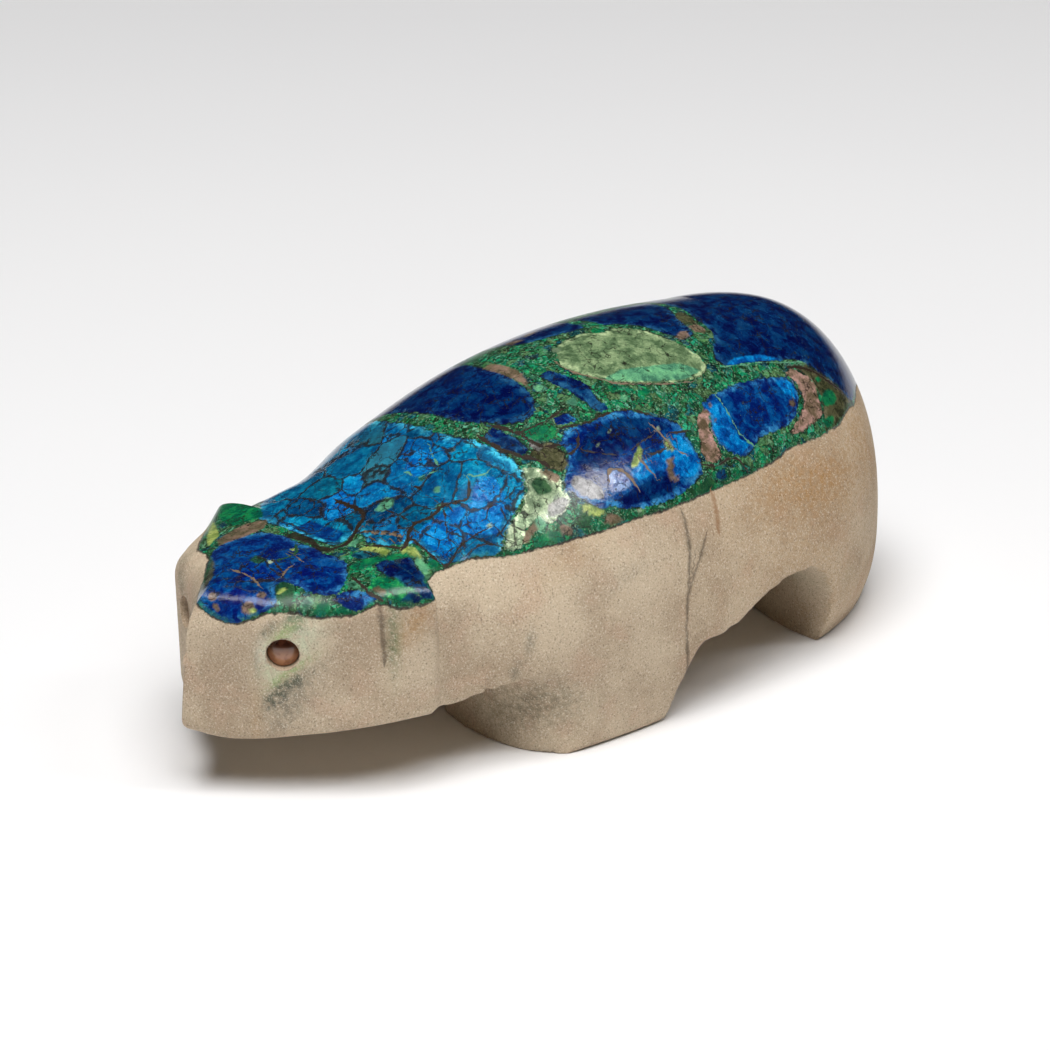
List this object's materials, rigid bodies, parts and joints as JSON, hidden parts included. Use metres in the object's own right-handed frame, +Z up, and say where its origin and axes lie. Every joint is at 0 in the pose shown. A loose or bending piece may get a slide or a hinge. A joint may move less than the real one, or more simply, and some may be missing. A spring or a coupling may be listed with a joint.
{
  "type": "carved stone bear figurine",
  "caption": "Small carved stone bear with a low wedge-shaped head, pointed ears, stubby legs and round inlaid eyes; it stands on a shelf as an ornament or charm.",
  "frame": {"origin": "middle of the bounding box in plan, on the plane the feet stand on", "axes": "+X from the nose to the tail, +Y to the bear's right side, +Z up"},
  "size_m": [0.0766, 0.035, 0.0287],
  "materials": {
    "banded_stone": "fine matte tan sandstone with a polished blue and green seam over the back and the top of the head",
    "eye_stone": "polished brown stone"
  },
  "bodies": {
    "root": {"bear": "banded_stone", "left_eye": "eye_stone", "right_eye": "eye_stone"}
  },
  "joints": []
}
